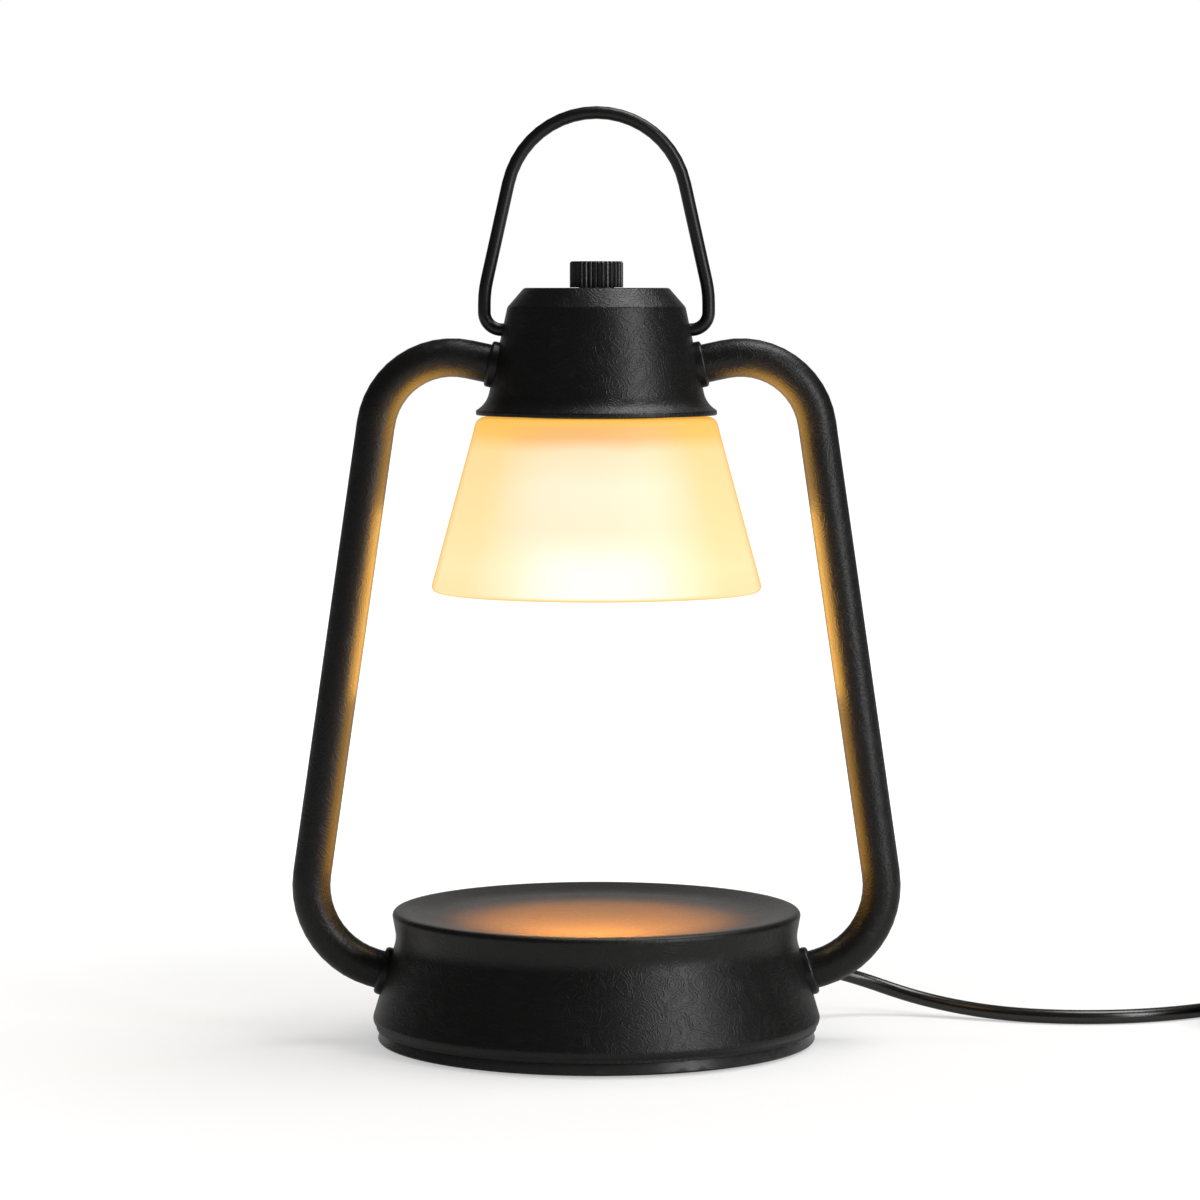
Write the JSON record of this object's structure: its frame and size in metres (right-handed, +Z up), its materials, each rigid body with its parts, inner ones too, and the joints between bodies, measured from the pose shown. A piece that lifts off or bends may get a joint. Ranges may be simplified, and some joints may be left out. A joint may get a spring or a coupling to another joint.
{
  "type": "candle warmer lamp",
  "caption": "Lantern-shaped candle warmer lamp: round weighted base, bent side tubes, spun hood with swinging wire bail, dimmer knob and frosted glass shade over a candle plate.",
  "frame": {"origin": "on the floor under the centre of the round base", "axes": "+Z up; +X to the right-hand side tube; -Y to the front, +Y to the back"},
  "size_m": [0.3677, 0.141, 0.2915],
  "materials": {
    "textured_black": "matt powder coat with a fine wrinkle texture",
    "smooth_black": "satin black lacquer",
    "tray_black": "satin moulded plastic",
    "trim_black": "smooth satin plastic",
    "knob_black": "satin moulded plastic with straight ribs",
    "rubber_black": "matt rubber",
    "cord_black": "smooth black PVC sheath",
    "ballast_iron": "rough cast",
    "zinc_steel": "bright zinc plate",
    "shaft_aluminium": "turned",
    "dimmer_plastic": "moulded plastic",
    "ceramic_white": "glazed ceramic",
    "frosted_glass": "acid-frosted glass, warm when lit",
    "reflector_glass": "aluminised glass",
    "lens_glass": "clear glass",
    "nickel_pins": "nickel plate",
    "terminal_natural": "natural polyamide",
    "terminal_brass": "plain brass",
    "wire_white": "silicone sleeved wire"
  },
  "bodies": {
    "root": {"base_shell": "textured_black", "tube_right": "textured_black", "tube_left": "textured_black", "hood": "textured_black", "holder_cup": "smooth_black", "bottom_tray": "tray_black", "base_collar_right": "trim_black", "base_collar_left": "trim_black", "hood_collar_right": "trim_black", "hood_collar_left": "trim_black", "shade_ring": "trim_black", "cord_clamp": "trim_black", "foot_pads": "rubber_black", "cord_gland": "cord_black", "cord_lead": "cord_black", "cord_coil": "cord_black", "cord_tail": "cord_black", "plug_body": "cord_black", "inlet_cable": "cord_black", "riser_cable": "cord_black", "ballast_disc": "ballast_iron", "base_posts": "zinc_steel", "base_screws": "zinc_steel", "base_nuts": "zinc_steel", "hood_nuts": "zinc_steel", "dimmer_nut": "zinc_steel", "hood_bridge": "zinc_steel", "holder_screws": "zinc_steel", "dimmer_body": "dimmer_plastic", "lamp_holder": "ceramic_white", "shade": "frosted_glass", "lamp_reflector": "reflector_glass", "lamp_lens": "lens_glass", "lamp_capsule": "lens_glass", "lamp_pins": "nickel_pins", "plug_pins": "nickel_pins", "terminal_block": "terminal_natural", "terminal_screws": "terminal_brass", "hood_leads": "wire_white"},
    "bail": {"bail": "smooth_black", "bail_clips": "zinc_steel"},
    "knob": {"knob": "knob_black", "dimmer_shaft": "shaft_aluminium"}
  },
  "joints": [
    {"name": "bail_swing", "type": "hinge", "parent": "root", "child": "bail", "pos_m": [0, 0, 0.2224], "axis": [1, 0, 0], "range_deg": [-120, 120]},
    {"name": "knob_turn", "type": "hinge", "parent": "root", "child": "knob", "pos_m": [0, 0, 0.2354], "axis": [0, 0, 1], "range_deg": [-150, 150]}
  ]
}
